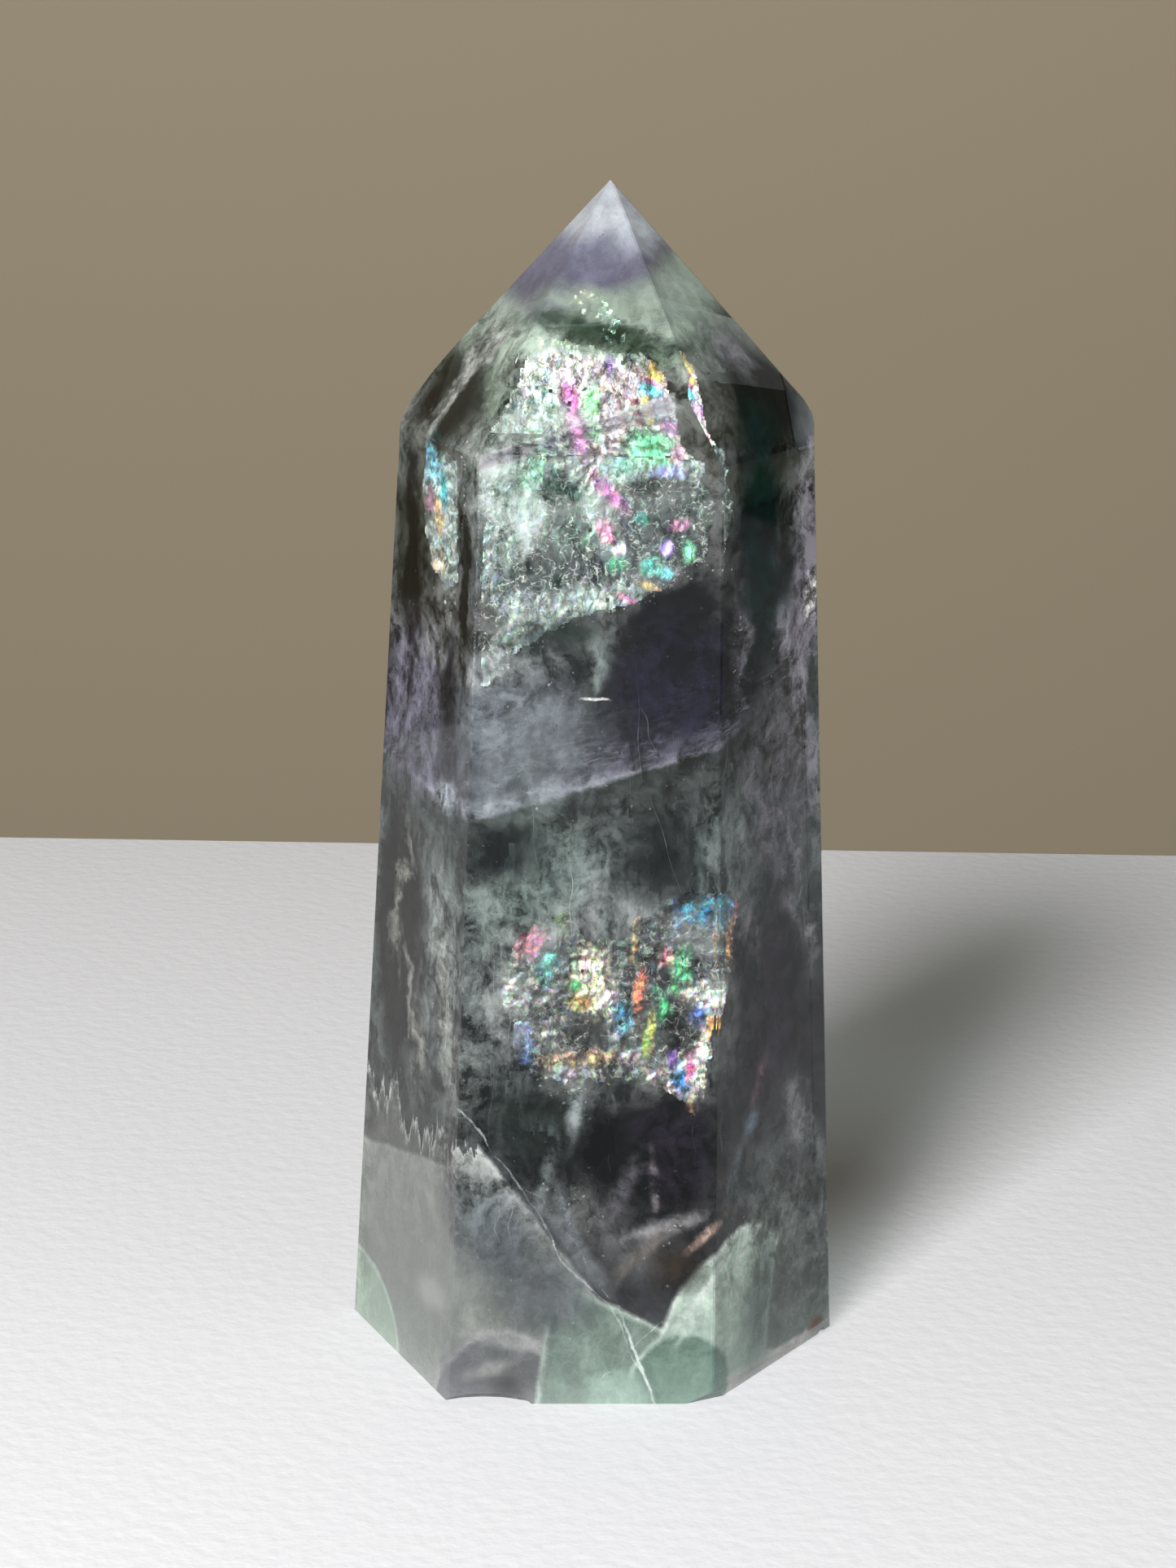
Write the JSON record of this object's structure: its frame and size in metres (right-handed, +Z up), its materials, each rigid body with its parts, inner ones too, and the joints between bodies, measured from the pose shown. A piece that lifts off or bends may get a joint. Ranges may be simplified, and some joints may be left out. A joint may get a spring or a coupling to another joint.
{
  "type": "polished fluorite point",
  "caption": "Six-sided polished crystal tower with a six-sided faceted tip and a flat ground base, to stand on a shelf or desk.",
  "frame": {"origin": "middle of the bounding box, on the ground base", "axes": "+Z up along the tower, -Y towards the front side, +X to the right of someone facing that side"},
  "size_m": [0.0418, 0.0344, 0.0991],
  "materials": {
    "fluorite": "polished translucent crystal, grey green and violet, with inner cracks and veils"
  },
  "bodies": {
    "root": {"fluorite_point": "fluorite"}
  },
  "joints": []
}
